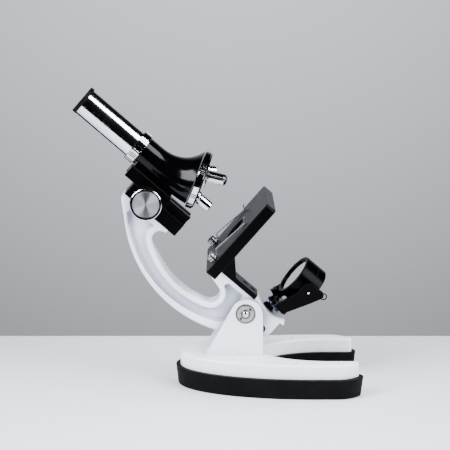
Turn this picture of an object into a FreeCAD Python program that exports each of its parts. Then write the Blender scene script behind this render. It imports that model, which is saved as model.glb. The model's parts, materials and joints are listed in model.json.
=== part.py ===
# Student microscope: horseshoe base, C-shaped tilting arm, rack-and-pinion focus,
# three-objective turret, clip stage and a two-sided mirror and lamp drum.
#
# The row frame stands on the table: +Z up, +X towards the user's far side (the base's
# toes), the tilt hinge runs along Y straight above the origin.
# Arm parts are drawn in the arm's own frame: origin on the hinge axis, +Z along the
# optical axis, +X towards the stage.  placed() then leans them back by rest_tilt.
import FreeCAD, Part
import math
import os

# ---------------------------------------------------------------- driving dimensions
# Base
base_height = 23.9
boot_height = 13.9
boot_floor = 2.5
heel_centre_x = 46.0
boot_length_a = 94.6
boot_half_width = 40.5
boot_taper = 1.5
casting_inset = 3.1
notch_centre_x = 58.0
notch_depth_a = 46.0
notch_half_width = 26.0
boot_wall_inside = 2.6
toe_turn_deg = 50.0
toe_radius = 21.0
casting_wall = 4.0

# Tilt hinge
hinge_height = 53.5
rest_tilt = 49.0
bolt_radius = 2.95
running_fit = 0.05
ear_inner_y = 9.6
ear_outer_y = 13.5
nut_radius = 6.3
nut_thickness = 2.0
counterbore_depth = 1.0
counterbore_room = 0.7

# Arm
arm_half_width = 9.0
web_pocket_depth = 4.2
back_centre = (60.2, 42.4)
back_radius = 90.9
grip_centre = (45.2, 45.3)
grip_radius = 61.2
grip_top_round = 5.6
grip_top_angle = 143.77
grip_low_round = 7.0
grip_low_angle = 199.4
rim_width = 3.9
arm_edge_round = 1.8
pocket_rim_round = 1.2
pocket_corner_round = 1.5
pocket_floor_round = 1.4
cross_hole_radius = 2.9
head_seat_x = 8.7
head_top_z = 117.0
foot_seat_x = 10.7
foot_bottom_z = 1.3
arm_bottom_z = -23.0

# Optics
optical_x = 38.2
turret_lean = 20.0
turret_apex_z = 112.2
turret_radius = 21.15
turret_top = 26.8
turret_thickness = 4.6
turret_foot = 32.2
groove_depth = 0.4
groove_pitch = 1.25
pivot_radius = 2.2
mount_radius = 4.6
mount_end = 35.8
outer_room = 18.0
objective_radius = 3.9
objective_tip = (46.3, 49.0, 41.5)
tube_radius = 10.0
tube_top_z = 177.4
tube_wall = 0.9
collar_radius = 11.8

tube_foot_z = 127.0
spigot_top_z = 133.0
collar_top_z = 133.6
body_face = 26.3
body_face_radius = 19.0

# Focus slide
housing_front_x = 18.7
housing_screw_z = (88.0, 112.5)
rail_neck_half = 6.2
rail_lip_x = 23.1
rail_front_x = 25.4
rail_head_half = 8.5
rail_bottom_z = 72.1
slide_front_x = 27.5
slide_half = 10.2
slide_bottom_z = 90.3
slide_top_z = 125.4
slide_gap = 0.15
rack_slot_half = 3.2
rail_slot_sink = 0.8
housing_screw_sink = 2.4
pinion_room = 4.6
rack_half = 2.8
slide_screw_z = (94.5, 121.5)

# Pinion
pinion_x = 15.5
pinion_z = 102.6
gear_module = 0.7
gear_teeth = 10
shaft_radius = 1.5
bush_radius = 2.5
bush_flange_radius = 3.05
bush_inner_y = 4.0
knob_radius = 10.85
knob_face_radius = 9.4
knob_inner_y = 16.0
knob_outer_y = 26.0
bezel_y = 24.2
bezel_inner_radius = 10.2

# Stage
stage_x0 = 8.3
stage_x1 = 70.3
stage_half = 35.0
stage_bottom_z = 35.3
stage_top_z = 43.0
aperture_radius = 8.0
foot_half = 9.2
foot_thickness = 3.5
gusset_x = 28.6
stage_screw_sink = 1.7
stage_screw_z = (5.6, 12.4)
clip_x = 17.5
clip_y = 25.0
clip_rest_z = 44.2
clip_thickness = 0.6
clip_top_z = 45.0

# Mirror and lamp drum
post_root = (11.3, -11.2)
drum_x = 40.8
trunnion_z = -20.2
drum_radius = 15.4
drum_bore = 13.8
mirror_radius = 13.0
mirror_depth = 1.4
drum_swivel = 4.4
trunnion_radius = 0.9
trunnion_head_radius = 1.4
drum_top_z = -8.4
drum_seam_z = -18.6
drum_bottom_z = -26.0
fork_gap = 0.5
fork_arm = 2.4

Vec = FreeCAD.Vector
X_AXIS = Vec(1, 0, 0)
Y_AXIS = Vec(0, 1, 0)
Z_AXIS = Vec(0, 0, 1)


# ---------------------------------------------------------------- small helpers
def box(x0, x1, y0, y1, z0, z1):
    return Part.makeBox(x1 - x0, y1 - y0, z1 - z0, Vec(x0, y0, z0))


def disc(radius, start, length, axis):
    return Part.makeCylinder(radius, length, start, axis)


def ring(outer, inner, start, length, axis):
    return disc(outer, start, length, axis).cut(disc(inner, start, length, axis))


def line(a, b):
    return Part.LineSegment(a, b).toShape()


def arc(a, b, c):
    return Part.Arc(a, b, c).toShape()


def arc_about(centre, radius, start_deg, end_deg, point):
    """Arc in a plane; point() turns (u, v) into a 3-D point."""
    def at(angle):
        turn = math.radians(angle)
        return point(centre[0] + radius * math.cos(turn), centre[1] + radius * math.sin(turn))
    return arc(at(start_deg), at(0.5 * (start_deg + end_deg)), at(end_deg))


def extrude(edges, direction):
    return Part.Face(Part.Wire(edges)).extrude(direction)


def polygon(points):
    return [line(a, b) for a, b in zip(points, points[1:] + points[:1])]


def side_prism(points, y0, y1):
    """Straight-sided plate drawn in the X-Z plane between y0 and y1."""
    corners = [Vec(x, y0, z) for x, z in points]
    return extrude(polygon(corners), Vec(0, y1 - y0, 0))


def revolve(points, centre=Vec(0, 0, 0)):
    """Turned piece: (radius, z) profile about the Z axis through centre."""
    corners = [centre + Vec(r, 0, z) for r, z in points]
    return Part.Face(Part.Wire(polygon(corners))).revolve(centre, Z_AXIS, 360)


def rounded(shape, radius, wanted):
    """Fillet the edges for which wanted(edge) is true."""
    return shape.makeFillet(radius, [e for e in shape.Edges if wanted(e)])


def mirrored_pair(shape):
    return [shape, shape.mirror(Vec(0, 0, 0), Y_AXIS)]


def aimed(shape, origin, axis):
    """Turn a piece drawn along +Z so that it points along axis, then move it."""
    turned = shape.copy()
    turned.Placement = FreeCAD.Placement(origin, FreeCAD.Rotation(Z_AXIS, axis)) * shape.Placement
    return turned


def screw(seat, axis, shank_radius, shank_length, head_radius, head_height):
    """Cross-head screw; the head's underside is at seat, the shank runs along axis."""
    body = disc(shank_radius, Vec(0, 0, 0), shank_length, Z_AXIS)
    head = disc(head_radius, Vec(0, 0, -head_height), head_height, Z_AXIS)
    head = rounded(head, 0.3 * head_height, lambda e: e.BoundBox.ZMax < -head_height + 0.001)
    body = body.fuse(head)
    reach = 0.55 * head_radius
    half = 0.14 * head_radius
    depth = 0.45 * head_height
    for x, y in ((reach, half), (half, reach)):
        body = body.cut(box(-x, x, -y, y, -head_height - 0.1, depth - head_height))
    return aimed(body, seat, axis)


def placed(shape):
    """Arm frame to row frame: lean back about the hinge, then lift to its height."""
    moved = shape.copy()
    moved.rotate(Vec(0, 0, 0), Y_AXIS, -rest_tilt)
    moved.translate(Vec(0, 0, hinge_height))
    return moved


def angle_of(centre, point):
    return math.degrees(math.atan2(point[1] - centre[1], point[0] - centre[0]))


def on_circle(centre, radius, angle):
    turn = math.radians(angle)
    return (centre[0] + radius * math.cos(turn), centre[1] + radius * math.sin(turn))


# ---------------------------------------------------------------- base
def horseshoe(z, shrink, inside):
    """Plan outline of the base at height z.

    shrink moves the outer edge in, inside moves the notch's edge into the notch.
    """
    a = boot_length_a - shrink
    b = boot_half_width - shrink
    notch_b = notch_half_width - inside
    notch_a = notch_depth_a - inside
    turn = math.radians(toe_turn_deg)
    rise = toe_radius * (1 - math.cos(turn))
    nose = (b - notch_b - rise) / (1 + math.cos(turn))
    toe_tip_x = heel_centre_x + a - 60.1
    bend_x = toe_tip_x - toe_radius * math.sin(turn) - nose * (1 - math.sin(turn))
    heel = Part.Ellipse(Vec(heel_centre_x, 0, z), a, b)
    notch = Part.Ellipse(Vec(notch_centre_x, 0, z), notch_a, notch_b)
    edges = [Part.ArcOfEllipse(heel, math.pi / 2, 3 * math.pi / 2).toShape()]

    def toe(side):
        def at(x, y):
            return Vec(x, side * y, z)
        big = (bend_x, b - toe_radius)
        joint = on_circle(big, toe_radius, 90 - toe_turn_deg)
        small = on_circle(big, toe_radius - nose, 90 - toe_turn_deg)
        return [
            line(at(heel_centre_x, b), at(bend_x, b)),
            arc_about(big, toe_radius, 90, 90 - toe_turn_deg, at),
            arc_about(small, nose, 90 - toe_turn_deg, -90, at),
            line(at(small[0], notch_b), at(notch_centre_x, notch_b)),
        ]

    edges += toe(-1)
    edges += toe(1)
    edges.append(Part.ArcOfEllipse(notch, math.pi / 2, 3 * math.pi / 2).toShape())
    return Part.Wire(Part.sortEdges(edges)[0])


def upright_prism(z0, z1, shrink, inside):
    return Part.Face(horseshoe(z0, shrink, inside)).extrude(Vec(0, 0, z1 - z0))


def ear_outline(y):
    crown = (0.8, 51.9)
    radius = 11.2
    foot_left = (-28.9, base_height - 2.0)
    foot_right = (12.4, base_height - 2.0)
    reach = math.hypot(crown[0] - foot_left[0], crown[1] - foot_left[1])
    heading = angle_of(foot_left, crown)
    spread = math.degrees(math.asin(radius / reach))
    left = on_circle(crown, radius, heading + spread + 90)
    right = on_circle(crown, radius, 0)

    def at(x, z):
        return Vec(x, y, z)
    return [
        line(at(*foot_left), at(*left)),
        arc_about(crown, radius, heading + spread + 90, 0, at),
        line(at(*right), at(*foot_right)),
        line(at(*foot_right), at(*foot_left)),
    ]


def make_base_casting():
    skin = upright_prism(boot_floor, base_height, casting_inset, 0.0)
    top = base_height - 0.001
    skin = rounded(skin, 1.8, lambda e: e.BoundBox.ZMin > top)
    inset = casting_inset + casting_wall
    oval = Part.Ellipse(Vec(heel_centre_x, 0, boot_floor), boot_length_a - inset, boot_half_width - inset)
    hollow = extrude([oval.toShape()], Vec(0, 0, base_height - casting_wall - boot_floor))
    hollow = hollow.common(box(-60, notch_centre_x - notch_depth_a - 8, -50, 50, 0, base_height))
    ears = []
    for side in (-1, 1):
        inner = side * ear_inner_y
        ear = extrude(ear_outline(inner), Vec(0, side * (ear_outer_y - ear_inner_y), 0))
        ear = rounded(ear, 0.9, lambda e: abs(e.BoundBox.YMin - side * ear_outer_y) < 0.001
                      and abs(e.BoundBox.YMax - side * ear_outer_y) < 0.001
                      and e.BoundBox.ZMax > base_height)
        ears.append(ear)
    body = skin.cut(hollow).fuse(ears)
    bore = disc(bolt_radius, Vec(0, -20, hinge_height), 40, Y_AXIS)
    seat_y = ear_outer_y - counterbore_depth
    seats = [disc(nut_radius + counterbore_room, Vec(0, side * seat_y, hinge_height), 2, Y_AXIS * side)
             for side in (-1, 1)]
    body = body.cut(bore).cut(seats)
    return body.removeSplitter()


def make_rubber_boot():
    low = horseshoe(0, boot_taper, boot_wall_inside - 0.5)
    high = horseshoe(boot_height, 0, boot_wall_inside)
    outer = Part.makeLoft([low, high], True, True)
    outer = rounded(outer, 1.2, lambda e: e.BoundBox.ZMax < 0.001)
    return outer.cut(upright_prism(boot_floor, base_height, casting_inset, 0.0))


def make_hinge_bolt():
    """Through bolt: domed far-side head, threaded near end that shows inside the nut."""
    head_seat = ear_outer_y - counterbore_depth
    tip_y = -head_seat - nut_thickness - 0.6
    shank = disc(bolt_radius, Vec(0, tip_y, 0), head_seat + 0.5 - tip_y, Y_AXIS)
    head = disc(nut_radius, Vec(0, head_seat, 0), nut_thickness, Y_AXIS)
    head = rounded(head, 0.6, lambda e: e.BoundBox.YMin > head_seat + nut_thickness - 0.001)
    bolt = shank.fuse(head)
    bolt = rounded(bolt, 0.7, lambda e: e.BoundBox.YMax < tip_y + 0.001)
    slot = box(-0.5, 0.5, head_seat + nut_thickness - 0.8, head_seat + nut_thickness + 1, -5, 5)
    bolt = bolt.cut(slot)
    bolt.translate(Vec(0, 0, hinge_height))
    return bolt


def make_hinge_nut():
    seat = -(ear_outer_y - counterbore_depth)
    nut = ring(nut_radius, bolt_radius, Vec(0, seat - nut_thickness, 0), nut_thickness, Y_AXIS)
    nut = rounded(nut, 0.5, lambda e: e.BoundBox.YMax < seat - nut_thickness + 0.001
                  and e.BoundBox.XLength > 2 * nut_radius - 0.1)
    holes = []
    for turn in (45, 225):
        x, z = on_circle((0, 0), 4.6, turn)
        holes.append(disc(0.6, Vec(x, seat - nut_thickness - 0.1, z), 1.4, Y_AXIS))
    nut = nut.cut(holes)
    nut.translate(Vec(0, 0, hinge_height))
    return nut


def make_friction_washers():
    washer = ring(7.0, bolt_radius + running_fit, Vec(0, arm_half_width, hinge_height),
                  ear_inner_y - arm_half_width, Y_AXIS)
    return mirrored_pair(washer)


# ---------------------------------------------------------------- arm
def arm_outline(y):
    """Side outline of the arm casting, walked clockwise from the head's top."""
    def at(x, z):
        return Vec(x, y, z)

    cheek_z = 103.0
    cheek_angle = 180 - math.degrees(math.asin((cheek_z - back_centre[1]) / back_radius))
    cheek = on_circle(back_centre, back_radius, cheek_angle)
    slope = math.radians(cheek_angle - 90)
    crown_x = cheek[0] + (head_top_z - cheek_z) * math.cos(slope) / math.sin(slope)
    heel_angle = 180 - math.degrees(math.asin((arm_bottom_z - back_centre[1]) / back_radius))
    heel = on_circle(back_centre, back_radius, heel_angle)

    top_centre = on_circle(grip_centre, grip_radius - grip_top_round, grip_top_angle)
    low_centre = on_circle(grip_centre, grip_radius - grip_low_round, grip_low_angle)
    ledge = (3.4, stage_bottom_z)
    reach = math.hypot(ledge[0] - low_centre[0], ledge[1] - low_centre[1])
    rise_angle = angle_of(low_centre, ledge) - math.degrees(math.acos(grip_low_round / reach))

    lip = (13.8, -23.9)
    lip_low = (10.1, -26.3)
    return [
        line(at(*cheek), at(crown_x, head_top_z)),
        line(at(crown_x, head_top_z), at(head_seat_x, head_top_z)),
        line(at(head_seat_x, head_top_z), at(head_seat_x, top_centre[1])),
        line(at(head_seat_x, top_centre[1]), at(top_centre[0] + grip_top_round, top_centre[1])),
        arc_about(top_centre, grip_top_round, 0, grip_top_angle, at),
        arc_about(grip_centre, grip_radius, grip_top_angle, grip_low_angle, at),
        arc_about(low_centre, grip_low_round, grip_low_angle, 360 + rise_angle, at),
        line(at(*on_circle(low_centre, grip_low_round, rise_angle)), at(*ledge)),
        line(at(*ledge), at(foot_seat_x, stage_bottom_z)),
        line(at(foot_seat_x, stage_bottom_z), at(foot_seat_x, foot_bottom_z)),
        line(at(foot_seat_x, foot_bottom_z), at(14.3, foot_bottom_z)),
        arc(at(14.3, foot_bottom_z), at(11.0, -12.5), at(*lip)),
        line(at(*lip), at(*lip_low)),
        line(at(*lip_low), at(9.8, arm_bottom_z)),
        line(at(9.8, arm_bottom_z), at(*heel)),
        arc_about(back_centre, back_radius, heel_angle, cheek_angle, at),
    ]


def web_pocket(y):
    """Outline of the shallow recess between the arm's rims."""
    def at(x, z):
        return Vec(x, y, z)

    outer_c = (56.5, 46.5)
    outer_r = 82.8
    inner_r = grip_radius + rim_width
    top_r = grip_top_round + rim_width
    low_r = grip_low_round + rim_width
    top_c = on_circle(grip_centre, grip_radius - grip_top_round, grip_top_angle)
    low_c = on_circle(grip_centre, grip_radius - grip_low_round, grip_low_angle)
    crown = on_circle(outer_c, outer_r, 133)
    shoulder = on_circle(top_c, top_r, 60)
    low_out = on_circle(outer_c, outer_r, 207)
    edges = [
        arc_about(outer_c, outer_r, 133, 207, at),
        line(at(*low_out), at(-9.0, -1.0)),
        line(at(-9.0, -1.0), at(7.4, 9.0)),
        line(at(7.4, 9.0), at(7.4, 22.0)),
        line(at(7.4, 22.0), at(*on_circle(low_c, low_r, -18))),
        arc_about(low_c, low_r, -18, grip_low_angle - 360, at),
        arc_about(grip_centre, inner_r, grip_low_angle, grip_top_angle, at),
        arc_about(top_c, top_r, grip_top_angle, 60, at),
        line(at(*shoulder), at(shoulder[0], crown[1])),
        line(at(shoulder[0], crown[1]), at(*crown)),
    ]
    return Part.Wire(Part.sortEdges(edges)[0])


def in_side_plane(y):
    """Test for edges that lie wholly in the plane at y."""
    return lambda e: abs(e.BoundBox.YMin - y) < 0.001 and abs(e.BoundBox.YMax - y) < 0.001


def wall_corners(solid):
    """Edges along Y where two walls of a side-drawn prism meet at an angle."""
    found = []
    for edge in solid.Edges:
        if edge.BoundBox.YLength < web_pocket_depth:
            continue
        middle = edge.valueAt(0.5 * (edge.FirstParameter + edge.LastParameter))
        walls = [f for f in solid.Faces if any(edge.isSame(other) for other in f.Edges)]
        normals = [f.normalAt(*f.Surface.parameter(middle)) for f in walls]
        if len(normals) == 2 and normals[0].getAngle(normals[1]) > math.radians(4):
            found.append(edge)
    return found


def make_arm_casting():
    body = extrude(arm_outline(-arm_half_width), Vec(0, 2 * arm_half_width, 0))
    outer_side = arm_half_width - 0.001
    body = rounded(body, arm_edge_round, lambda e: abs(e.BoundBox.YMin) > outer_side
                   and e.BoundBox.YLength < 0.01 and type(e.Curve) is Part.Circle)
    for side in (-1, 1):
        outside = side * (arm_half_width + 1)
        pocket = Part.Face(web_pocket(outside)).extrude(Vec(0, -side * (web_pocket_depth + 1), 0))
        pocket = pocket.makeFillet(pocket_corner_round, wall_corners(pocket))
        floor_y = side * (arm_half_width - web_pocket_depth)
        pocket = rounded(pocket, pocket_floor_round, in_side_plane(floor_y))
        mouth = Part.Wire([e for e in pocket.Edges if in_side_plane(outside)(e)])
        mouth.translate(Vec(0, -side, 0))
        body = body.cut(pocket)
        brim = in_side_plane(side * arm_half_width)
        body = rounded(body, pocket_rim_round, lambda e: brim(e) and Part.Vertex(
            e.valueAt(0.5 * (e.FirstParameter + e.LastParameter))).distToShape(mouth)[0] < 0.001)
    bore = disc(bolt_radius + running_fit, Vec(0, -20, 0), 40, Y_AXIS)
    cross_hole = disc(cross_hole_radius, Vec(-1.8, -20, -16.2), 40, Y_AXIS)
    return body.cut([bore, cross_hole])


def make_focus_housing():
    """Block on the arm's head with the T-shaped rail and the pinion's cavity."""
    block = box(head_seat_x, housing_front_x, -arm_half_width, arm_half_width, rail_bottom_z, head_top_z)
    block = rounded(block, 0.6, lambda e: e.BoundBox.XLength > 9)
    neck = box(housing_front_x - 0.5, rail_lip_x + 0.1, -rail_neck_half, rail_neck_half,
               rail_bottom_z, head_top_z)
    head = box(rail_lip_x, rail_front_x, -rail_head_half, rail_head_half, rail_bottom_z, head_top_z)
    head = rounded(head, 0.4, lambda e: e.BoundBox.ZLength > 30)
    slot_x = housing_front_x - rail_slot_sink
    slot = box(slot_x, 30, -rack_slot_half, rack_slot_half, rail_bottom_z - 1, head_top_z + 1)
    cavity = disc(pinion_room, Vec(pinion_x, -rack_slot_half, pinion_z), 2 * rack_slot_half, Y_AXIS)
    core = disc(shaft_radius + 0.5, Vec(pinion_x, -20, pinion_z), 40, Y_AXIS)
    seats = mirrored_pair(disc(bush_radius, Vec(pinion_x, bush_inner_y, pinion_z), 20, Y_AXIS))
    body = block.fuse([neck, head]).cut([slot, cavity, core] + seats)
    for z in housing_screw_z:
        body = body.cut(disc(1.5, Vec(0, 0, z), 30, X_AXIS))
        body = body.cut(disc(2.6, Vec(slot_x - housing_screw_sink, 0, z), 5, X_AXIS))
    return body.removeSplitter()


def make_housing_screws():
    seat_x = housing_front_x - rail_slot_sink - housing_screw_sink
    return [screw(Vec(seat_x, 0, z), -X_AXIS, 1.5, seat_x - 3.5, 2.5, 2.2) for z in housing_screw_z]


def make_pinion_bushes():
    profile = [(shaft_radius + running_fit, bush_inner_y), (bush_radius, bush_inner_y),
               (bush_radius, arm_half_width), (bush_flange_radius, arm_half_width),
               (bush_flange_radius, arm_half_width + 0.8),
               (shaft_radius + running_fit, arm_half_width + 0.8)]
    bush = aimed(revolve(profile), Vec(pinion_x, 0, pinion_z), Y_AXIS)
    return mirrored_pair(bush)


def make_stage():
    """Stage plate, gusset and foot plate, one moulding."""
    plate = box(stage_x0, stage_x1, -stage_half, stage_half, stage_bottom_z, stage_top_z)
    plate = rounded(plate, 2.0, lambda e: e.BoundBox.ZLength > 5)
    plate = rounded(plate, 0.6, lambda e: e.BoundBox.ZMin > stage_top_z - 0.001)
    foot_x = foot_seat_x + foot_thickness
    gusset_foot_z = stage_bottom_z - (gusset_x - foot_x)
    foot = side_prism([(foot_seat_x, foot_bottom_z), (foot_x, foot_bottom_z), (foot_x, gusset_foot_z),
                       (gusset_x, stage_bottom_z), (gusset_x, stage_bottom_z + 1),
                       (foot_seat_x, stage_bottom_z + 1)], -foot_half, foot_half)
    aperture = disc(aperture_radius, Vec(optical_x, 0, 0), 60, Z_AXIS)
    bevel = Part.makeCone(aperture_radius, aperture_radius + 1, 1, Vec(optical_x, 0, stage_top_z - 0.99))
    body = plate.fuse(foot).cut([aperture, bevel])
    for z in stage_screw_z:
        body = body.cut(disc(1.5, Vec(0, 0, z), 30, X_AXIS))
        body = body.cut(disc(2.3, Vec(foot_x - stage_screw_sink, 0, z), 10, X_AXIS))
    for side in (-1, 1):
        body = body.cut(disc(1.5, Vec(clip_x, side * clip_y, 36), 20, Z_AXIS))
    return body.removeSplitter()


def make_stage_screws():
    seat_x = foot_seat_x + foot_thickness - stage_screw_sink
    return [screw(Vec(seat_x, 0, z), -X_AXIS, 1.5, 8, 2.2, 1.4) for z in stage_screw_z]


def make_clip_screws():
    """Chrome thumb screws on short collars; they hold the spring clips down."""
    parts = []
    for side in (-1, 1):
        seat = Vec(clip_x, side * clip_y, clip_top_z)
        part = screw(seat, -Z_AXIS, 1.5, clip_top_z - 36, 3.1, 3.5)
        collar = disc(2.5, Vec(clip_x, side * clip_y, stage_top_z), clip_rest_z - stage_top_z, Z_AXIS)
        parts.append(part.fuse(collar))
    return parts


def make_clip(side, turn):
    """Spring strip: eye under the screw, sloping blade and up-turned tip."""
    eye = disc(3.3, Vec(0, 0, clip_rest_z), clip_thickness, Z_AXIS)
    toe_x = 32.0
    toe_z = stage_top_z + 0.3
    top_z = clip_rest_z + clip_thickness
    crest = (6.0, clip_rest_z + 2.6)
    strip = side_prism([(0, clip_rest_z), (4.1, clip_rest_z), crest, (toe_x, toe_z),
                        (toe_x + 2.6, toe_z + 3.4), (toe_x + 2.1, toe_z + 3.8),
                        (toe_x - 0.3, toe_z + clip_thickness),
                        (crest[0] - 0.3, crest[1] + clip_thickness), (3.8, top_z), (0, top_z)], -4, 4)
    plan = [Vec(0, -1.9, 40), Vec(40, -1.3, 40), Vec(40, 1.3, 40), Vec(0, 1.9, 40)]
    strip = strip.common(extrude(polygon(plan), Vec(0, 0, 20)))
    clip = eye.fuse(strip).cut(disc(1.5 + running_fit, Vec(0, 0, 40), 20, Z_AXIS)).removeSplitter()
    clip.rotate(Vec(0, 0, 0), Z_AXIS, turn)
    clip.translate(Vec(clip_x, side * clip_y, 0))
    return clip


# ---------------------------------------------------------------- focus drive
def gear_outline(y):
    """Straight-sided teeth with generous backlash; one tooth points along +X."""
    pitch = math.pi * gear_module
    pitch_radius = 0.5 * gear_module * gear_teeth
    corners = []
    for tooth in range(gear_teeth):
        middle = 2 * math.pi * tooth / gear_teeth
        for radius, half in ((pitch_radius - 0.85, -0.27), (pitch_radius + 0.6, -0.08),
                             (pitch_radius + 0.6, 0.08), (pitch_radius - 0.85, 0.27)):
            turn = middle + half * pitch / radius
            corners.append(Vec(pinion_x + radius * math.cos(turn), y, pinion_z + radius * math.sin(turn)))
    return polygon(corners)


def make_pinion_gear():
    gear = extrude(gear_outline(-2.6), Vec(0, 5.2, 0))
    return gear.cut(disc(shaft_radius, Vec(pinion_x, -10, pinion_z), 20, Y_AXIS))


def make_pinion_shaft():
    reach = knob_outer_y - 3.0
    return disc(shaft_radius, Vec(pinion_x, -reach, pinion_z), 2 * reach, Y_AXIS)


def make_knob(side):
    """Black knob: fluted rim, front lip round a recess for the face disc, hub towards the arm."""
    hub_y = arm_half_width + 1.6
    seat = knob_outer_y - 2.6
    lip = knob_outer_y - 0.8
    profile = [(shaft_radius, hub_y), (4.6, hub_y), (4.6, knob_inner_y), (knob_radius - 0.6, knob_inner_y),
               (knob_radius, knob_inner_y + 0.6), (knob_radius, bezel_y), (bezel_inner_radius, bezel_y),
               (bezel_inner_radius, lip - 0.3), (bezel_inner_radius - 0.2, lip),
               (knob_face_radius + 0.15, lip),
               (knob_face_radius + 0.15, seat), (shaft_radius, seat)]
    knob = revolve(profile)
    flutes = []
    for flute in range(36):
        x, y = on_circle((0, 0), knob_radius + 0.25, 10 * flute)
        flutes.append(disc(0.5, Vec(x, y, knob_inner_y + 1.2), bezel_y - knob_inner_y - 2.2, Z_AXIS))
    return aimed(knob.cut(flutes), Vec(pinion_x, 0, pinion_z), Y_AXIS * side)


def make_knob_face(side):
    """Spun aluminium disc with a turned groove near its chamfered edge."""
    back = knob_outer_y - 2.6
    front = knob_outer_y - 0.9
    profile = [(0, back), (knob_face_radius, back), (knob_face_radius, front - 0.35),
               (knob_face_radius - 0.35, front), (8.5, front), (8.4, front - 0.25), (8.2, front - 0.25),
               (8.1, front), (0, front)]
    face = revolve(profile).cut(disc(shaft_radius, Vec(0, 0, 0), knob_outer_y - 3.0, Z_AXIS))
    return aimed(face, Vec(pinion_x, 0, pinion_z), Y_AXIS * side)


def make_knob_bezels():
    """Polished rings let into the front edges of the knobs."""
    profile = [(bezel_inner_radius, bezel_y), (knob_radius, bezel_y), (knob_radius, knob_outer_y - 0.5),
               (knob_radius - 0.15, knob_outer_y - 0.15), (knob_radius - 0.4, knob_outer_y),
               (bezel_inner_radius, knob_outer_y)]
    return [aimed(revolve(profile), Vec(pinion_x, 0, pinion_z), Y_AXIS * side) for side in (-1, 1)]


# ---------------------------------------------------------------- carriage
def make_slide():
    """Channel that wraps the rail's T-shaped head."""
    outer = box(housing_front_x + slide_gap, slide_front_x, -slide_half, slide_half,
                slide_bottom_z, slide_top_z)
    outer = rounded(outer, 0.7, lambda e: e.BoundBox.ZLength > 30
                    and e.BoundBox.XMin > slide_front_x - 1)
    nose = [(slide_front_x - 2.6, slide_bottom_z - 1), (slide_front_x + 1, slide_bottom_z - 1),
            (slide_front_x + 1, slide_bottom_z + 2.2)]
    outer = outer.cut(side_prism(nose, -20, 20))
    neck = rail_neck_half + slide_gap
    head = rail_head_half + slide_gap
    throat = box(0, rail_lip_x, -neck, neck, 0, 200)
    wide = box(rail_lip_x - slide_gap, rail_front_x + slide_gap, -head, head, 0, 200)
    body = outer.cut([throat, wide])
    for z in slide_screw_z:
        body = body.cut(disc(1.0, Vec(10, 0, z), 30, X_AXIS))
    return body


def make_rack():
    """Toothed bar fixed inside the slide; it runs through the rail's slot."""
    pitch = math.pi * gear_module
    pitch_x = pinion_x + 0.5 * gear_module * gear_teeth
    tip_x = pitch_x - 0.6
    root_x = pitch_x + 0.85
    low = slide_bottom_z + 0.4
    high = slide_top_z - 0.4
    front = rail_front_x + slide_gap
    body = box(root_x, front, -rack_half, rack_half, low, high)
    first = math.ceil((low - pinion_z) / pitch) - 1
    last = math.floor((high - pinion_z) / pitch)
    teeth = []
    for tooth in range(first, last + 1):
        z = pinion_z + (tooth + 0.5) * pitch
        wide = 0.28 * pitch
        narrow = 0.08 * pitch
        teeth.append(side_prism([(root_x + 0.1, z - wide), (root_x, z - wide), (tip_x, z - narrow),
                                 (tip_x, z + narrow), (root_x, z + wide), (root_x + 0.1, z + wide)],
                                -rack_half, rack_half))
    body = body.fuse(teeth).common(box(0, 40, -9, 9, low, high))
    for z in slide_screw_z:
        body = body.cut(disc(1.0, Vec(0, 0, z), 40, X_AXIS))
        body = body.cut(disc(1.7, Vec(0, 0, z), root_x + 1.8, X_AXIS))
    return body.removeSplitter()


def make_slide_screws():
    seat_x = pinion_x + 0.5 * gear_module * gear_teeth + 0.85 + 1.8
    return [screw(Vec(seat_x, 0, z), X_AXIS, 1.0, 8.0, 1.6, 1.4) for z in slide_screw_z]


def turret_axis():
    lean = math.radians(turret_lean)
    return Vec(math.sin(lean), 0, -math.cos(lean))


def turret_apex():
    return Vec(optical_x, 0, turret_apex_z)


def flare_section(share):
    """Round section of the nosepiece; share runs from 0 at the neck to 1 at the turret."""
    neck_radius = 10.4
    centre = turret_apex() + turret_axis() * body_face
    lean = math.radians(turret_lean)
    low_x = centre.x - body_face_radius * math.cos(lean)
    low_z = centre.z - body_face_radius * math.sin(lean)
    left_x = optical_x - neck_radius + (low_x - optical_x + neck_radius) * share ** 4
    left_z = 118.0 + (low_z - 118.0) * share
    radius = neck_radius + (body_face_radius - neck_radius) * share ** 2.2
    tilt = lean * share
    middle = Vec(left_x + radius * math.cos(tilt), 0, left_z + radius * math.sin(tilt))
    return Part.Wire(Part.makeCircle(radius, middle, Vec(-math.sin(tilt), 0, math.cos(tilt))))


def make_nosepiece_body():
    """Flared casting between the slide, the tube and the turret."""
    sections = [flare_section(step / 8) for step in range(9)]
    flare = Part.makeLoft(sections, True, False)
    neck = disc(10.4, Vec(optical_x, 0, 118), tube_foot_z - 118, Z_AXIS)
    saddle = box(slide_front_x, optical_x, -8.0, 8.0, slide_bottom_z + 2.2, slide_top_z)
    saddle = rounded(saddle, 1.5, lambda e: e.BoundBox.XLength > 5 and abs(e.BoundBox.YMin) > 7.9
                     and e.BoundBox.ZMax > slide_top_z - 0.1)
    spigot = disc(tube_radius - tube_wall, Vec(optical_x, 0, 120), spigot_top_z - 120, Z_AXIS)
    body = flare.fuse([neck, saddle, spigot])
    wide_bore = disc(7.2, Vec(optical_x, 0, 98), 50, Z_AXIS)
    low_bore = disc(4.6, Vec(optical_x, 0, 60), 50, Z_AXIS)
    thread = disc(1.5, turret_apex() + turret_axis() * (body_face - 9), 20, turret_axis())
    body = body.cut([wide_bore, low_bore, thread])
    for z in slide_screw_z:
        body = body.cut(disc(1.0, Vec(20, 0, z), 10.5, X_AXIS))
    return body.removeSplitter()


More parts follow.
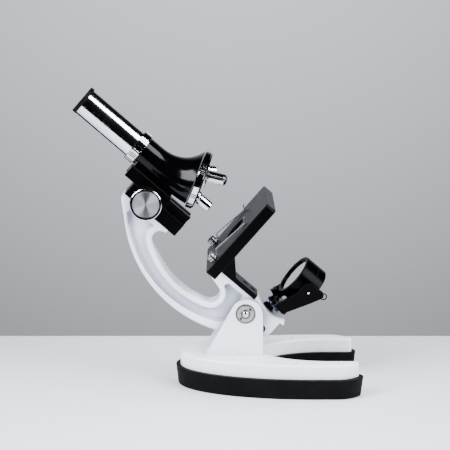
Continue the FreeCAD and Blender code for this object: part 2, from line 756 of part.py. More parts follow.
def grooved(body, radius, low, high, groups, first_deg):
    """Cut groups of three upright V grooves round a ring that stands on the Z axis."""
    step = math.degrees(groove_pitch / radius)
    tools = []
    for group in range(groups):
        for groove in (-1, 0, 1):
            corners = [(radius - groove_depth, 0), (radius + 0.1, groove_depth + 0.1),
                       (radius + 0.1, -groove_depth - 0.1)]
            cutter = extrude(polygon([Vec(x, y, low) for x, y in corners]), Vec(0, 0, high - low))
            cutter.rotate(Vec(0, 0, 0), Z_AXIS, first_deg + 360 * group / groups + groove * step)
            tools.append(cutter)
    return body.cut(tools)


def make_tube_collar():
    low = tube_foot_z
    high = collar_top_z
    profile = [(tube_radius, low), (collar_radius - 0.4, low), (collar_radius, low + 0.4),
               (collar_radius, high - 0.4), (collar_radius - 0.4, high), (tube_radius, high)]
    collar = grooved(revolve(profile), collar_radius, low + 0.8, high - 0.8, 12, 4)
    collar.translate(Vec(optical_x, 0, 0))
    return collar


def make_body_tube():
    return ring(tube_radius, tube_radius - tube_wall, Vec(optical_x, 0, tube_foot_z),
                tube_top_z - tube_foot_z, Z_AXIS)


def make_light_baffle():
    return ring(tube_radius - tube_wall, 4.5, Vec(optical_x, 0, spigot_top_z), 0.8, Z_AXIS)


def make_turret_pivot():
    """Shoulder screw that carries the turret."""
    profile = [(0, body_face - 8), (1.5, body_face - 8), (1.5, body_face), (pivot_radius, body_face),
               (pivot_radius, turret_foot + 0.6), (3.8, turret_foot + 0.6), (3.8, turret_foot + 2.0),
               (3.2, turret_foot + 2.6), (0, turret_foot + 2.6)]
    pivot = revolve(profile)
    slot = box(-5, 5, -0.45, 0.45, turret_foot + 1.8, turret_foot + 4)
    return aimed(pivot.cut(slot), turret_apex(), turret_axis())


def make_turret_spring():
    """Thin spring washer that presses the turret against the nosepiece."""
    washer = ring(3.6, pivot_radius, Vec(0, 0, turret_foot + 0.2), 0.4, Z_AXIS)
    return aimed(washer, turret_apex(), turret_axis())


# ---------------------------------------------------------------- turret
def in_turret(shape):
    return aimed(shape, turret_apex(), turret_axis())


def at_station(shape, station):
    """Lean a piece drawn along the turret's axis out to one of the three stations."""
    moved = shape.copy()
    moved.rotate(Vec(0, 0, 0), Y_AXIS, turret_lean)
    moved.rotate(Vec(0, 0, 0), Z_AXIS, -120 * station)
    return moved


def make_turret_ring():
    low = turret_top
    high = turret_top + turret_thickness
    inner = turret_radius - 2.4
    profile = [(inner, low), (turret_radius - 0.6, low), (turret_radius, low + 0.5),
               (turret_radius, high - 0.5), (turret_radius - 0.5, high), (inner, high)]
    return in_turret(grooved(revolve(profile), turret_radius, low + 0.6, high - 0.6, 15, 7))


def make_turret_plate():
    """Black carrier inside the grip ring, with a flange that shows under it."""
    outer = turret_radius - 2.4
    profile = [(pivot_radius + running_fit, turret_top + 0.2), (outer, turret_top + 0.2),
               (outer, turret_top + turret_thickness), (outer + 1.3, turret_top + turret_thickness),
               (outer + 0.9, turret_foot), (pivot_radius + running_fit, turret_foot)]
    plate = revolve(profile)
    seats = [at_station(disc(mount_radius, Vec(0, 0, 20), 30, Z_AXIS), n) for n in range(3)]
    return in_turret(plate.cut(seats))


def make_objective_mounts():
    """Black sockets that hold the three objectives at the turret's cone angle."""
    shell = turret_top + 0.2
    room = disc(outer_room, Vec(0, 0, shell), 20, Z_AXIS)
    mounts = []
    for n in range(3):
        mount = ring(mount_radius, 2.6, Vec(0, 0, 24), mount_end - 24, Z_AXIS)
        mount = rounded(mount, 0.6, lambda e: e.BoundBox.ZMin > mount_end - 0.001
                        and e.BoundBox.XLength > 2 * mount_radius - 0.5)
        mounts.append(in_turret(at_station(mount, n).common(room)))
    return mounts


def make_objective(station, tip):
    """Chrome barrel with a turned neck and a step above the tip."""
    profile = [(2.6, mount_end), (3.3, mount_end), (3.3, mount_end + 0.8),
               (objective_radius, mount_end + 1.1),
               (objective_radius, tip - 1.3), (2.6, tip - 1.3)]
    return in_turret(at_station(revolve(profile), station))


def make_objective_tips():
    tips = []
    for station, tip in enumerate(objective_tip):
        profile = [(1.6, tip - 1.3), (objective_radius - 0.15, tip - 1.3),
                   (objective_radius - 0.15, tip - 0.7),
                   (objective_radius - 0.9, tip), (1.6, tip)]
        tips.append(in_turret(at_station(revolve(profile), station)))
    return tips


def make_objective_lenses():
    return [in_turret(at_station(disc(1.6, Vec(0, 0, tip - 1.2), 0.9, Z_AXIS), station))
            for station, tip in enumerate(objective_tip)]


# ---------------------------------------------------------------- eyepiece
def make_eyepiece_barrel():
    outer = tube_radius - tube_wall - 0.06
    low = tube_top_z - 27
    profile = [(outer - 1.2, low), (outer, low), (outer, tube_top_z), (outer - 1.2, tube_top_z)]
    barrel = revolve(profile)
    barrel.translate(Vec(optical_x, 0, 0))
    return barrel


def make_eyepiece_cap():
    outer = tube_radius + 0.25
    profile = [(6.0, tube_top_z), (outer, tube_top_z), (outer, tube_top_z + 2.6),
               (outer - 0.4, tube_top_z + 3.0), (8.4, tube_top_z + 3.0), (6.0, tube_top_z + 1.6)]
    cap = revolve(profile)
    cap.translate(Vec(optical_x, 0, 0))
    return cap


def lens(radius, low, edge, crown):
    """Plano-convex lens, flat face down, on the optical axis."""
    span = (radius * radius + crown * crown) / (2 * crown)
    ball = Part.makeSphere(span, Vec(optical_x, 0, low + edge + crown - span))
    rod = disc(radius, Vec(optical_x, 0, low), edge + crown + 1, Z_AXIS)
    return rod.common(ball)


def make_eye_lens():
    return lens(6.0, tube_top_z - 1.2, 1.6, 0.9)


def make_field_lens():
    return lens(tube_radius - tube_wall - 0.06 - 1.2, tube_top_z - 26, 1.2, 1.4)


# ---------------------------------------------------------------- mirror and lamp
def fork_axis():
    run = Vec(drum_x - post_root[0], 0, trunnion_z - post_root[1])
    return run.normalize()


def fork_root():
    return Vec(post_root[0], 0, post_root[1])


def along_fork(shape):
    return aimed(shape, fork_root(), fork_axis())


def swivelled(shape):
    """Turn a fork-borne piece about the post to the drum's resting swivel."""
    moved = shape.copy()
    moved.rotate(fork_root(), fork_axis(), drum_swivel)
    return moved


def make_mirror_post():
    """Flanged post on the arm's front face; its stud screws into the arm."""
    profile = [(0, -8), (1.8, -8), (1.8, -1.5), (4.4, -1.5), (4.4, 1.2), (3.8, 1.8),
               (3.0, 1.8), (3.0, 7.6), (0, 7.6)]
    post = along_fork(revolve(profile))
    face = extrude(arm_outline(-arm_half_width), Vec(0, 2 * arm_half_width, 0))
    stud = along_fork(disc(1.8, Vec(0, 0, -8), 9, Z_AXIS))
    return post.cut(face.cut(stud)).removeSplitter()


def make_swivel_washer():
    washer = ring(6.2, 3.0 + running_fit, Vec(0, 0, 3.4), 1.8, Z_AXIS)
    return along_fork(rounded(washer, 0.5, lambda e: e.BoundBox.XLength > 12.3))


def make_fork():
    """Black fork: round hub on the post, cross-bar and two deep side arms."""
    inner = drum_radius + fork_gap
    outer = inner + fork_arm
    hub = disc(5.6, Vec(0, 0, 5.3), 4.2, Z_AXIS)
    boss = disc(9.4, Vec(0, 0, 8.2), 2.4, Z_AXIS)
    bar = box(-4.6, 4.6, -outer, outer, 8.2, 10.6)
    core = along_fork(hub.fuse([boss, bar]).cut(disc(3.0 + running_fit, Vec(0, 0, 0), 7.8, Z_AXIS)))
    arms = []
    for side in (-1, 1):
        low, high = sorted((side * inner, side * outer))
        beam = side_prism([(18.2, -8.6), (37.0, -14.8), (40.8, -26.2), (37.0, -27.2), (17.6, -16.8)],
                          low, high)
        pad = disc(6.2, Vec(drum_x, low, trunnion_z), fork_arm, Y_AXIS)
        heel = disc(3.1, Vec(44.2, low, -27.2), fork_arm, Y_AXIS)
        bridge = side_prism([(36.0, -26.6), (46.8, -21.5), (47.3, -27.0), (43.4, -30.2)], low, high)
        arm = beam.fuse([pad, heel, bridge])
        arms.append(arm.cut(trunnion_holes()))
    return core.fuse(arms).removeSplitter()


def make_fork_clip():
    """Small wire ring sprung into the near arm's heel."""
    middle = drum_radius + fork_gap + 0.5 * fork_arm
    loop = Part.makeTorus(2.1, 0.4, Vec(45.2, -middle, -30.4), Y_AXIS)
    return loop.cut(make_fork())


def make_trunnion_screws():
    seat = drum_radius + fork_gap + fork_arm + 0.1
    return [screw(Vec(drum_x, side * seat, trunnion_z), Y_AXIS * -side, trunnion_radius, seat - 12.6,
                  trunnion_head_radius, 0.9) for side in (-1, 1)]


def turned_drum(profile):
    return revolve(profile, Vec(drum_x, 0, 0))


def trunnion_holes():
    return disc(trunnion_radius + running_fit, Vec(drum_x, -30, trunnion_z), 60, Y_AXIS)


def make_drum_shell():
    return turned_drum([(mirror_radius, drum_top_z), (drum_radius - 0.5, drum_top_z),
                        (drum_radius, drum_top_z - 0.5), (drum_radius, drum_seam_z),
                        (drum_bore, drum_seam_z), (drum_bore, drum_top_z - mirror_depth),
                        (mirror_radius, drum_top_z - mirror_depth)])


def make_drum_base():
    shell = turned_drum([(7.0, drum_bottom_z), (drum_radius - 1.0, drum_bottom_z),
                         (drum_radius, drum_bottom_z + 1.0), (drum_radius, drum_seam_z - 0.25),
                         (12.4, drum_seam_z - 0.25),
                         (12.4, drum_bottom_z + 1.8), (7.0, drum_bottom_z + 1.8)])
    return shell.cut(trunnion_holes())


def make_mirror():
    thickness = 1.6
    return disc(drum_bore, Vec(drum_x, 0, drum_top_z - mirror_depth - thickness), thickness, Z_AXIS)


def make_lamp_carrier():
    """Plate clamped in the seam; it carries the lamp below and the cells above."""
    return turned_drum([(2.5, drum_seam_z), (drum_bore, drum_seam_z), (drum_bore, drum_seam_z + 1.4),
                        (7.2, drum_seam_z + 1.4), (7.2, drum_seam_z + 5.0), (6.0, drum_seam_z + 5.0),
                        (6.0, drum_seam_z + 0.8), (2.5, drum_seam_z + 0.8)])


def make_lamp():
    bulb = disc(2.4, Vec(drum_x, 0, drum_seam_z - 3.0), 3.8, Z_AXIS)
    return bulb.fuse(Part.makeSphere(2.4, Vec(drum_x, 0, drum_seam_z - 3.0)))


def make_cells():
    start = drum_seam_z + 0.8
    return [disc(5.8, Vec(drum_x, 0, start + n * 2.7), 2.6, Z_AXIS) for n in range(2)]


def make_lamp_window():
    return disc(7.0, Vec(drum_x, 0, drum_bottom_z + 0.3), 1.2, Z_AXIS)


# ---------------------------------------------------------------- export
def export(name, shape):
    solids = shape if isinstance(shape, list) else [shape]
    Part.makeCompound(solids).exportStep("parts/" + name + ".step")


on_the_base = {
    "base_casting": make_base_casting(),
    "rubber_boot": make_rubber_boot(),
    "hinge_bolt": make_hinge_bolt(),
    "hinge_nut": make_hinge_nut(),
    "friction_washers": make_friction_washers(),
}
housing_screws = make_housing_screws()
stage_screws = make_stage_screws()
mirror_post = make_mirror_post()
on_the_arm = {
    "arm_casting": make_arm_casting().cut(housing_screws + stage_screws + [mirror_post]),
    "focus_housing": make_focus_housing(),
    "housing_screws": housing_screws,
    "pinion_bushes": make_pinion_bushes(),
    "stage": make_stage(),
    "stage_screws": stage_screws,
    "clip_screws": make_clip_screws(),
    "stage_clip_near": make_clip(-1, 6.6),
    "stage_clip_far": make_clip(1, -1.7),
    "pinion_shaft": make_pinion_shaft(),
    "pinion_gear": make_pinion_gear(),
    "focus_knob_near": make_knob(-1),
    "focus_knob_far": make_knob(1),
    "knob_face_near": make_knob_face(-1),
    "knob_face_far": make_knob_face(1),
    "knob_bezels": make_knob_bezels(),
    "focus_slide": make_slide(),
    "focus_rack": make_rack(),
    "slide_screws": make_slide_screws(),
    "nosepiece_body": make_nosepiece_body(),
    "tube_collar": make_tube_collar(),
    "body_tube": make_body_tube(),
    "light_baffle": make_light_baffle(),
    "turret_pivot": make_turret_pivot(),
    "turret_spring": make_turret_spring(),
    "turret_ring": make_turret_ring(),
    "turret_plate": make_turret_plate(),
    "objective_mounts": make_objective_mounts(),
    "objective_mid": make_objective(0, objective_tip[0]),
    "objective_high": make_objective(1, objective_tip[1]),
    "objective_low": make_objective(2, objective_tip[2]),
    "objective_tips": make_objective_tips(),
    "objective_lenses": make_objective_lenses(),
    "eyepiece_barrel": make_eyepiece_barrel(),
    "eyepiece_cap": make_eyepiece_cap(),
    "eye_lens": make_eye_lens(),
    "field_lens": make_field_lens(),
    "mirror_post": mirror_post,
    "swivel_washer": make_swivel_washer(),
}
on_the_post = {
    "mirror_fork": make_fork(),
    "fork_clip": make_fork_clip(),
    "trunnion_screws": make_trunnion_screws(),
    "drum_shell": make_drum_shell(),
    "drum_base": make_drum_base(),
    "mirror_glass": make_mirror(),
    "lamp_carrier": make_lamp_carrier(),
    "lamp": make_lamp(),
    "button_cells": make_cells(),
    "lamp_window": make_lamp_window(),
}

os.makedirs("parts", exist_ok=True)
for name, shape in on_the_base.items():
    export(name, shape)
for name, shape in on_the_arm.items():
    pieces = shape if isinstance(shape, list) else [shape]
    export(name, [placed(piece) for piece in pieces])
for name, shape in on_the_post.items():
    pieces = shape if isinstance(shape, list) else [shape]
    export(name, [placed(swivelled(piece)) for piece in pieces])
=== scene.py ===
import json
import math

import bmesh
import bpy
from mathutils import Euler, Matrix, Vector


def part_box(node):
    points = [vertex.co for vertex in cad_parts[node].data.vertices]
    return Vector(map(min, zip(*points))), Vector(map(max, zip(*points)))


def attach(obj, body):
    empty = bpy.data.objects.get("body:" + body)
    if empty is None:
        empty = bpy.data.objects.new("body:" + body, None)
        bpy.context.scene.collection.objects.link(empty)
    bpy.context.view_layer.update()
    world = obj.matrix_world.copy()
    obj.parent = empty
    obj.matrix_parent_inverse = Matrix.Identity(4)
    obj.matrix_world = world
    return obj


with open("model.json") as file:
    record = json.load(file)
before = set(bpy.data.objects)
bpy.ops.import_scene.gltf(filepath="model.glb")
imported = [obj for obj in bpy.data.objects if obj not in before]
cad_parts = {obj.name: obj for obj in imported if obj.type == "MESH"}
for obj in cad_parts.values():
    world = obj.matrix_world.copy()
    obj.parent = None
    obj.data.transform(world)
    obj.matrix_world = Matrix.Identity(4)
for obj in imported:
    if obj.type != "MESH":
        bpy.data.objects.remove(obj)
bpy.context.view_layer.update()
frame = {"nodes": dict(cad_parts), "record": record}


nodes = frame["nodes"]


# ------------------------------------------------------------------ materials
class Graph:
    """A material's node tree, with the few helpers the materials below need."""

    def __init__(self, name):
        self.material = bpy.data.materials.new(name)
        self.material.use_nodes = True
        self.tree = self.material.node_tree
        self.shader = self.tree.nodes["Principled BSDF"]
        self.where = self.node("ShaderNodeTexCoord").outputs["Object"]

    def node(self, kind, **settings):
        made = self.tree.nodes.new(kind)
        for key, value in settings.items():
            setattr(made, key, value)
        return made

    def link(self, start, end):
        self.tree.links.new(start, end)

    def set(self, **values):
        """Constant values, straight on the shader's own sockets."""
        for key, value in values.items():
            self.shader.inputs[key.replace("_", " ")].default_value = value

    def noise(self, scale, detail=4.0, roughness=0.5, stretch=None):
        texture = self.node("ShaderNodeTexNoise")
        texture.inputs["Scale"].default_value = scale
        texture.inputs["Detail"].default_value = detail
        texture.inputs["Roughness"].default_value = roughness
        source = self.where
        if stretch:
            mapping = self.node("ShaderNodeMapping")
            mapping.inputs["Rotation"].default_value = stretch[1]
            mapping.inputs["Scale"].default_value = stretch[0]
            self.link(source, mapping.inputs["Vector"])
            source = mapping.outputs["Vector"]
        self.link(source, texture.inputs["Vector"])
        return texture.outputs["Fac"]

    def ramp(self, source, low, high, start, end):
        """Map source from low..high to start..end."""
        ranged = self.node("ShaderNodeMapRange")
        ranged.inputs["From Min"].default_value = low
        ranged.inputs["From Max"].default_value = high
        ranged.inputs["To Min"].default_value = start
        ranged.inputs["To Max"].default_value = end
        self.link(source, ranged.inputs["Value"])
        return ranged.outputs["Result"]

    def blend(self, factor, first, second):
        mixed = self.node("ShaderNodeMix", data_type="RGBA")
        for socket, value in (("A", first), ("B", second)):
            target = [i for i in mixed.inputs if i.name == socket and i.type == "RGBA"][0]
            if isinstance(value, tuple):
                target.default_value = (*value, 1.0)
            else:
                self.link(value, target)
        self.link(factor, mixed.inputs["Factor"])
        return [o for o in mixed.outputs if o.type == "RGBA"][0]

    def bump(self, height, strength, distance):
        bumped = self.node("ShaderNodeBump")
        bumped.inputs["Strength"].default_value = strength
        bumped.inputs["Distance"].default_value = distance
        self.link(height, bumped.inputs["Height"])
        self.link(bumped.outputs["Normal"], self.shader.inputs["Normal"])

    def edges(self, radius, low=0.02, high=0.25):
        """1 on sharp edges, 0 on open faces."""
        bevel = self.node("ShaderNodeBevel", samples=6)
        bevel.inputs["Radius"].default_value = radius
        geometry = self.node("ShaderNodeNewGeometry")
        dot = self.node("ShaderNodeVectorMath", operation="DOT_PRODUCT")
        self.link(bevel.outputs["Normal"], dot.inputs[0])
        self.link(geometry.outputs["Normal"], dot.inputs[1])
        return self.ramp(dot.outputs["Value"], 1.0 - low, 1.0 - high, 0.0, 1.0)

    def painted_shade_mask(self, reach, low, high):
        """Ambient-occlusion mask for painted shade: 1 deep in narrow gaps, 0 on open faces."""
        shelter = self.node("ShaderNodeAmbientOcclusion", samples=8)
        shelter.inputs["Distance"].default_value = reach
        return self.ramp(shelter.outputs["AO"], low, high, 1.0, 0.0)


def shade(colour, factor):
    return tuple(factor * channel for channel in colour)


def white_enamel(name, painted_shade_colour):
    """Stove enamel: slightly uneven, with painted shade that greys it in recesses and turns it near
    black in the narrow gaps.
    """
    g = Graph(name)
    patches = g.ramp(g.noise(45.0, 3.0), 0.3, 0.7, 0.0, 1.0)
    paint = g.blend(patches, (0.81, 0.84, 0.925), (0.84, 0.865, 0.94))
    # painted shade: occlusion within 12 mm blends the paint toward the given shade colour in pockets
    # and recesses
    paint = g.blend(g.painted_shade_mask(0.012, 0.45, 1.0), paint, painted_shade_colour)
    # painted shade: near black deep in narrow gaps, such as the gap around the hinge nut
    paint = g.blend(g.painted_shade_mask(0.0015, 0.3, 0.62), paint, (0.02, 0.021, 0.024))
    g.link(paint, g.shader.inputs["Base Color"])
    g.link(g.ramp(g.noise(160.0, 5.0), 0.3, 0.7, 0.24, 0.36), g.shader.inputs["Roughness"])
    g.set(Coat_Weight=0.35, Coat_Roughness=0.12)
    g.bump(g.noise(900.0, 2.0), 0.08, 0.0002)
    return g.material


def plated(name, colour, rough_low, rough_high):
    """Zinc plating: soft sheen, with painted shade near black along its edges and in its gaps."""
    g = Graph(name)
    cloud = g.ramp(g.noise(420.0, 4.0), 0.3, 0.7, 0.0, 1.0)
    metal = g.blend(cloud, colour, shade(colour, 0.88))
    # painted shade: edges darkened near black, standing in for the shadowed gap outline
    metal = g.blend(g.edges(0.0010, 0.001, 0.018), metal, (0.008, 0.009, 0.008))
    # painted shade: near black deep in narrow gaps
    metal = g.blend(g.painted_shade_mask(0.0008, 0.25, 0.8), metal, (0.03, 0.03, 0.03))
    g.link(metal, g.shader.inputs["Base Color"])
    g.link(g.ramp(cloud, 0.0, 1.0, rough_low, rough_high), g.shader.inputs["Roughness"])
    g.set(Metallic=0.85)
    g.bump(g.noise(1800.0, 3.0), 0.08, 0.0001)
    return g.material


def boot_rubber():
    """Moulded rubber: near black, matt and lightly dusted."""
    g = Graph("boot_rubber")
    dust = g.ramp(g.noise(70.0, 6.0, 0.65), 0.45, 0.8, 0.0, 1.0)
    tone = g.blend(dust, (0.0010, 0.0010, 0.0013), (0.003, 0.003, 0.0036))
    g.link(tone, g.shader.inputs["Base Color"])
    g.link(g.ramp(g.noise(220.0, 4.0), 0.3, 0.7, 0.48, 0.66), g.shader.inputs["Roughness"])
    g.set(Specular_IOR_Level=0.06)
    g.bump(g.noise(2200.0, 3.0), 0.25, 0.0002)
    return g.material


def black_moulding(name, colour, rough_low, rough_high, shine, grain, grain_strength, edge_wear_and_highlight):
    """Black plastic or paint: uneven gloss, fine grain, and edges lightened as wear and as a painted
    edge highlight.
    """
    g = Graph(name)
    # edges lightened toward the given colour: wear and a painted edge highlight
    g.link(g.blend(g.edges(0.0006), colour, edge_wear_and_highlight), g.shader.inputs["Base Color"])
    gloss = g.ramp(g.noise(260.0, 5.0), 0.3, 0.7, rough_low, rough_high)
    g.link(gloss, g.shader.inputs["Roughness"])
    g.set(Specular_IOR_Level=shine)
    g.bump(g.noise(grain, 2.0), grain_strength, 0.0001)
    return g.material


def polished(name, colour, rough_low, rough_high, painted_groove_shade=False):
    """Chrome plating with faint handling marks and, where asked, painted shade near black in its
    grooves.
    """
    g = Graph(name)
    haze = g.ramp(g.noise(90.0, 6.0, 0.6), 0.35, 0.75, 0.0, 1.0)
    metal = g.blend(haze, colour, shade(colour, 0.94))
    if painted_groove_shade:
        # painted shade: groove floors darkened near black
        metal = g.blend(g.painted_shade_mask(0.0012, 0.70, 0.98), metal, (0.01, 0.01, 0.012))
    g.link(metal, g.shader.inputs["Base Color"])
    g.link(g.ramp(haze, 0.0, 1.0, rough_low, rough_high), g.shader.inputs["Roughness"])
    g.set(Metallic=1.0)
    return g.material


def brushed(name, colour, rough_low, rough_high, stretch):
    """Satin metal with short parallel scratches along one direction."""
    g = Graph(name)
    lines = g.noise(700.0, 3.0, 0.6, stretch)
    metal = g.blend(g.ramp(lines, 0.3, 0.7, 0.0, 1.0), colour, shade(colour, 0.8))
    g.link(metal, g.shader.inputs["Base Color"])
    g.link(g.ramp(lines, 0.3, 0.7, rough_low, rough_high), g.shader.inputs["Roughness"])
    g.set(Metallic=1.0)
    g.bump(lines, 0.12, 0.0001)
    return g.material


def spun(name, centre, colour):
    """Turned aluminium: concentric cutting marks about an axis along Y through centre."""
    g = Graph(name)
    shift = g.node("ShaderNodeVectorMath", operation="SUBTRACT")
    shift.inputs[1].default_value = centre
    g.link(g.where, shift.inputs[0])
    flat = g.node("ShaderNodeVectorMath", operation="MULTIPLY")
    flat.inputs[1].default_value = (1.0, 0.0, 1.0)
    g.link(shift.outputs["Vector"], flat.inputs[0])
    length = g.node("ShaderNodeVectorMath", operation="LENGTH")
    g.link(flat.outputs["Vector"], length.inputs[0])
    rings = g.node("ShaderNodeTexNoise", noise_dimensions="1D")
    rings.inputs["Scale"].default_value = 5200.0
    rings.inputs["Detail"].default_value = 3.0
    g.link(length.outputs["Value"], rings.inputs["W"])
    cuts = g.ramp(rings.outputs["Fac"], 0.35, 0.65, 0.0, 1.0)
    g.link(g.blend(cuts, colour, shade(colour, 0.82)), g.shader.inputs["Base Color"])
    tangent = g.node("ShaderNodeTangent", direction_type="RADIAL", axis="Y")
    g.link(tangent.outputs["Tangent"], g.shader.inputs["Tangent"])
    g.set(Metallic=1.0, Roughness=0.30, Anisotropic=0.90)
    g.bump(rings.outputs["Fac"], 0.06, 0.00005)
    return g.material


def clear(name, colour, roughness, transmission, ior=1.5):
    """Glass or clear plastic whose gloss varies a little."""
    g = Graph(name)
    gloss = g.ramp(g.noise(300.0, 3.0), 0.3, 0.7, roughness, roughness + 0.03)
    g.link(gloss, g.shader.inputs["Roughness"])
    g.set(Base_Color=(*colour, 1.0), Transmission_Weight=transmission, IOR=ior)
    return g.material


def plain_plastic(name, colour, rough_low, rough_high):
    """Unpainted moulding, faintly mottled."""
    g = Graph(name)
    tone = g.blend(g.noise(60.0, 3.0), colour, shade(colour, 0.92))
    g.link(tone, g.shader.inputs["Base Color"])
    gloss = g.ramp(g.noise(200.0, 4.0), 0.3, 0.7, rough_low, rough_high)
    g.link(gloss, g.shader.inputs["Roughness"])
    g.bump(g.noise(1200.0, 2.0), 0.08, 0.0001)
    return g.material


def middle(node):
    low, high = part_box(node)
    return 0.5 * (low + high)


arm_lean = math.radians(-49.0)
across = ((1.0, 0.04, 1.0), (0.0, arm_lean, 0.0))  # scratches along Y, in the leaning arm's axes
# the base's enamel gets a light painted shade in its recesses, the arm's a much darker lavender one in
# its pockets
base_enamel = white_enamel("base_enamel", (0.74, 0.76, 0.81))
arm_enamel = white_enamel("arm_enamel", (0.30, 0.32, 0.41))
rubber = boot_rubber()
satin_black = black_moulding(
    "satin_black", (0.0006, 0.0006, 0.0008), rough_low=0.32, rough_high=0.36, shine=0.05,
    grain=2600.0, grain_strength=0.04, edge_wear_and_highlight=(0.02, 0.02, 0.022))
gloss_black = black_moulding(
    "gloss_black", (0.0006, 0.0006, 0.0009), rough_low=0.10, rough_high=0.16, shine=0.14,
    grain=1500.0, grain_strength=0.02, edge_wear_and_highlight=(0.012, 0.012, 0.013))
fork_black = black_moulding(
    "fork_black", (0.0004, 0.0004, 0.0005), rough_low=0.18, rough_high=0.24, shine=0.03,
    grain=2600.0, grain_strength=0.03, edge_wear_and_highlight=(0.01, 0.01, 0.011))
matt_black = black_moulding(
    "matt_black", (0.001, 0.001, 0.0013), rough_low=0.5, rough_high=0.62, shine=0.1,
    grain=2400.0, grain_strength=0.12, edge_wear_and_highlight=(0.008, 0.008, 0.009))
chrome = polished("chrome", (0.86, 0.87, 0.88), 0.085, 0.13)
small_chrome = polished("small_chrome", (0.62, 0.635, 0.655), 0.06, 0.14)
# ring_chrome carries painted shade in its grooves
ring_chrome = polished("ring_chrome", (0.70, 0.715, 0.735), 0.05, 0.12, painted_groove_shade=True)
steel = brushed("steel", (0.62, 0.62, 0.63), 0.22, 0.38, across)
clip_steel = brushed("clip_steel", (0.66, 0.66, 0.67), 0.26, 0.42, across)
brass = brushed("brass", (0.72, 0.52, 0.22), 0.25, 0.4, across)
nylon = plain_plastic("nylon", (0.72, 0.71, 0.67), 0.4, 0.55)
lens = clear("lens", (0.93, 0.97, 0.98), 0.0, 1.0)
lamp_glass = clear("lamp_glass", (0.98, 0.96, 0.9), 0.02, 1.0)
blue_plastic = clear("blue_plastic", (0.002, 0.011, 0.04), 0.15, 0.05)
window = clear("window", (0.9, 0.92, 0.93), 0.35, 0.8)
mirror = polished("mirror", (0.88, 0.89, 0.9), 0.01, 0.03)
zinc = plated("zinc", (0.38, 0.405, 0.39), 0.34, 0.46)
dark_zinc = plated("dark_zinc", (0.26, 0.27, 0.275), 0.2, 0.3)
spun_colour = (0.62, 0.635, 0.66)
finish_of_slot = {
    "white_paint": base_enamel,
    "boot_rubber": rubber,
    "steel": steel,
    "nylon": nylon,
    "brass": brass,
    "satin_black": satin_black,
    "gloss_black": gloss_black,
    "chrome": chrome,
    "clip_steel": clip_steel,
    "lens": lens,
    "mirror": mirror,
    "blue_plastic": blue_plastic,
    "lamp_glass": lamp_glass,
    "window_plastic": window,
}
finish_of_node = {
    "arm_casting": arm_enamel,
    "eyepiece_cap": matt_black,
    "hinge_nut": zinc,
    "hinge_bolt": dark_zinc,
    "clip_screws": dark_zinc,
    "turret_ring": ring_chrome,
    "tube_collar": ring_chrome,
}
for name in ("objective_low", "objective_mid", "objective_high", "objective_mounts"):
    finish_of_node[name] = small_chrome
for name in ("stage_screws", "mirror_fork", "fork_clip", "trunnion_screws", "drum_shell", "drum_base"):
    finish_of_node[name] = fork_black

for part in frame["record"]["subparts"]:
    name = part["node"]
    if part["material_slot"] == "spun_aluminium":
        material = spun("spun_" + name, tuple(middle(name)), spun_colour)
    elif name in finish_of_node:
        material = finish_of_node[name]
    else:
        material = finish_of_slot[part["material_slot"]]
    node = nodes[name]
    node.data.materials.clear()
    node.data.materials.append(material)


# ------------------------------------------------------------------ small details
drum_axis = Vector((-0.0407, 0.9971, 0.0650))
hinge_z = 0.0535
dome_sink = 0.0002


def dome(name, body, tip, radius, height, material, facing=-1.0):
    """Add a closed, smooth rounded end facing -Y or +Y whose rim has its centre at tip."""
    rings, sides = 10, 48
    ball = (radius * radius + height * height) / (2 * height)
    sweep = math.asin(radius / ball)
    points = [(tip[0], tip[1] + facing * height, tip[2])]
    for ring in range(1, rings + 1):
        angle = sweep * ring / rings
        out = ball * math.sin(angle)
        y = tip[1] + facing * (height - ball * (1.0 - math.cos(angle)))
        for side in range(sides):
            turn = 2.0 * math.pi * side / sides
            points.append((tip[0] + out * math.cos(turn), y, tip[2] + out * math.sin(turn)))
    faces = [(0, 1 + (side + 1) % sides, 1 + side) for side in range(sides)]
    for ring in range(rings - 1):
        inner, outer = 1 + ring * sides, 1 + (ring + 1) * sides
        for side in range(sides):
            after = (side + 1) % sides
            faces.append((inner + side, inner + after, outer + after, outer + side))
    faces.append(tuple(1 + (rings - 1) * sides + side for side in range(sides)))
    mesh = bpy.data.meshes.new(name)
    mesh.from_pydata(points, [], faces)
    closed = bmesh.new()
    closed.from_mesh(mesh)
    bmesh.ops.recalc_face_normals(closed, faces=closed.faces)
    closed.to_mesh(mesh)
    closed.free()
    mesh.materials.append(material)
    mesh.shade_smooth()
    mesh.polygons[len(faces) - 1].use_smooth = False
    made = bpy.data.objects.new(name, mesh)
    bpy.context.scene.collection.objects.link(made)
    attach(made, body)


low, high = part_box("hinge_bolt")
dome("bolt_end", "base", (0.0, low[1] + dome_sink, hinge_z), 0.0021, 0.0009, small_chrome)
low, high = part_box("trunnion_screws")
half_length = 0.5 * (high[1] - low[1]) / drum_axis.y
for side, name in ((-1.0, "trunnion_end_near"), (1.0, "trunnion_end_far")):
    tip = Vector(0.5 * (low + high)) + side * (half_length - dome_sink) * drum_axis
    dome(name, "mirror_yoke", tip, 0.0008, 0.0003, chrome, side)


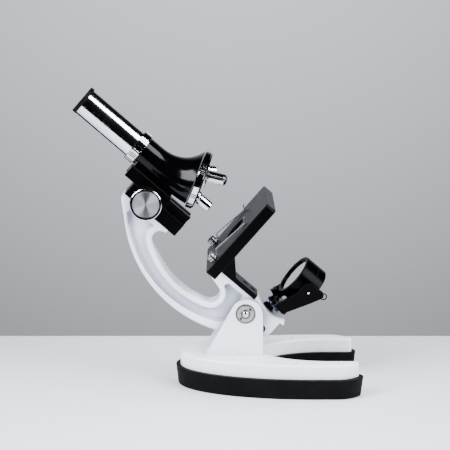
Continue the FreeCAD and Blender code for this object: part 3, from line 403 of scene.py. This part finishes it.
# ------------------------------------------------------------------ room, lights, camera
def painted_light_sheet(name, bright, dim, roughness, centre, fade):
    """Matt sheet with a painted pool of light: its colour fades from bright to dim with the distance
    from centre.
    """
    g = Graph(name)
    away = g.node("ShaderNodeVectorMath", operation="DISTANCE")
    away.inputs[1].default_value = centre
    g.link(g.where, away.inputs[0])
    square = g.node("ShaderNodeMath", operation="POWER")
    square.inputs[1].default_value = 2.0
    g.link(away.outputs["Value"], square.inputs[0])
    bell = g.node("ShaderNodeMath", operation="POWER")
    bell.inputs[0].default_value = math.exp(-0.5 / fade ** 2)
    g.link(square.outputs["Value"], bell.inputs[1])
    g.link(g.blend(bell.outputs["Value"], dim, bright), g.shader.inputs["Base Color"])
    g.set(Roughness=roughness, Specular_IOR_Level=0.2)
    return g.material


def sheet(name, corners, material):
    mesh = bpy.data.meshes.new(name)
    mesh.from_pydata(corners, [], [(0, 1, 2, 3)])
    mesh.materials.append(material)
    made = bpy.data.objects.new(name, mesh)
    bpy.context.scene.collection.objects.link(made)


table_back = 0.112
table_front = -0.38
wall_y = 1.3
table_reach = 0.9
wall_reach, wall_foot, wall_top = 1.6, -0.4, 1.9
# the table and the wall carry painted light: bright near their centres, painted dark away from them
table_painted_light = painted_light_sheet("table_top", (0.82, 0.82, 0.885), (0.19, 0.19, 0.225), roughness=0.5,
                             centre=(0.0, -0.2, 0.0), fade=0.28)
wall_painted_light = painted_light_sheet("wall", (0.54, 0.548, 0.585), (0.01, 0.01, 0.01), roughness=0.8,
                            centre=(0.0, wall_y, 0.35), fade=0.74)
sheet("table_top", [(-table_reach, table_front, 0), (table_reach, table_front, 0),
                    (table_reach, table_back, 0), (-table_reach, table_back, 0)], table_painted_light)
sheet("wall", [(-wall_reach, wall_y, wall_foot), (wall_reach, wall_y, wall_foot),
               (wall_reach, wall_y, wall_top), (-wall_reach, wall_y, wall_top)], wall_painted_light)


heart = Vector((0.0, 0.0, 0.13))


def toward(azimuth, elevation, distance):
    """Point at a distance from the object's heart; azimuth 0 is the camera's side, + is right."""
    a, e = math.radians(azimuth), math.radians(elevation)
    direction = Vector((math.sin(a) * math.cos(e), -math.cos(a) * math.cos(e), math.sin(e)))
    return direction * distance + heart


def area_light(name, where, aim, size, power, mirrored=True, colour=(0.95, 0.97, 1.0)):
    lamp = bpy.data.lights.new(name, "AREA")
    lamp.shape = "RECTANGLE"
    lamp.size, lamp.size_y = size
    lamp.energy = power
    lamp.color = colour
    made = bpy.data.objects.new(name, lamp)
    made.location = where
    made.rotation_euler = (Vector(aim) - Vector(where)).to_track_quat("-Z", "Y").to_euler()
    made.visible_glossy = mirrored
    bpy.context.scene.collection.objects.link(made)


area_light("right_softbox", toward(57, 31, 1.3), heart, (0.78, 0.95), 45.0)
area_light("left_softbox", toward(-56, 34, 1.3), heart, (0.7, 0.9), 54.0)
area_light("overhead", (0.1, 0.1, 1.5), heart, (0.9, 0.5), 22.0, mirrored=False)
area_light("wall_wash", (0.0, 0.75, 1.6), (0.0, wall_y, 0.5), (1.4, 0.3), 6.0, mirrored=False)

world = bpy.data.worlds.new("studio")
world.use_nodes = True
tree = world.node_tree
paths = tree.nodes.new("ShaderNodeLightPath")
seen = tree.nodes.new("ShaderNodeMapRange")
seen.inputs["To Min"].default_value = 0.004
seen.inputs["To Max"].default_value = 0.42
tree.links.new(paths.outputs["Is Camera Ray"], seen.inputs["Value"])
tree.links.new(seen.outputs["Result"], tree.nodes["Background"].inputs["Strength"])
tree.nodes["Background"].inputs["Color"].default_value = (0.95, 0.96, 1.0, 1.0)
bpy.context.scene.world = world

camera_dip = 12.0  # degrees below level
lens_data = bpy.data.cameras.new("camera")
lens_data.lens = 108.0
lens_data.sensor_width = 36.0
lens_data.clip_start = 0.01
camera = bpy.data.objects.new("camera", lens_data)
camera.location = (-0.0142, -0.9112, 0.3070)
camera.rotation_euler = Euler((math.radians(90.0 - camera_dip), 0.0, 0.0))
bpy.context.scene.collection.objects.link(camera)
bpy.context.scene.camera = camera
